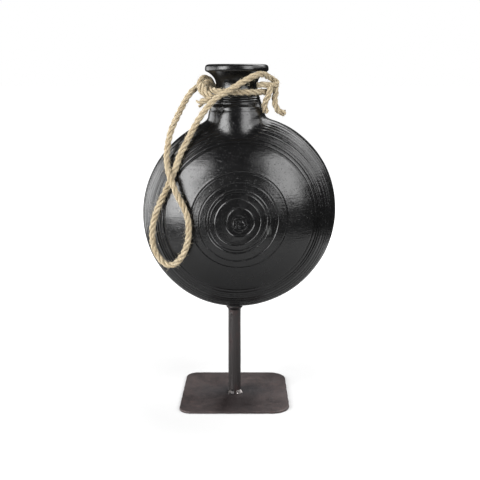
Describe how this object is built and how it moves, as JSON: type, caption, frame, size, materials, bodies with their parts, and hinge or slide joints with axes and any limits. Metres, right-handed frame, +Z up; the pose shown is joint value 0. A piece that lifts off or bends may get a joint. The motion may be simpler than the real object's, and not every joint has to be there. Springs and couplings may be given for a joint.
{
  "type": "clay canteen on stand",
  "caption": "Disc-shaped black clay flask with a flared neck and a natural rope sling, held upright on an iron rod and plate stand.",
  "frame": {"origin": "centre of the stand plate's underside, on the axis of the post", "axes": "+Z up, +X to the right seen from the front, front of the disc faces -Y"},
  "size_m": [0.2406, 0.144, 0.4191],
  "materials": {
    "clay": "burnished satin black",
    "plate_iron": "waxed rusty brown-black iron",
    "post_iron": "dark brushed iron",
    "weld": "lumpy weld bead",
    "steel": "zinc plated",
    "rubber": "matte black",
    "rope": "laid natural fibre, hairy"
  },
  "bodies": {
    "root": {"base_plate": "plate_iron", "post": "post_iron", "foot_weld_left": "weld", "foot_weld_right": "weld", "foot_weld_back": "weld", "top_weld": "weld", "saddle_washer": "post_iron", "lower_cushion": "rubber", "front_bowl": "clay", "back_bowl": "clay", "neck": "clay", "inner_cushion": "rubber", "inner_washer": "steel", "hex_nut": "steel", "threaded_stud": "steel", "neck_rope": "rope", "strap_rope": "rope", "left_knot": "rope", "right_knot": "rope", "cut_tail": "rope", "short_tail": "rope", "long_tail": "rope"}
  },
  "joints": []
}
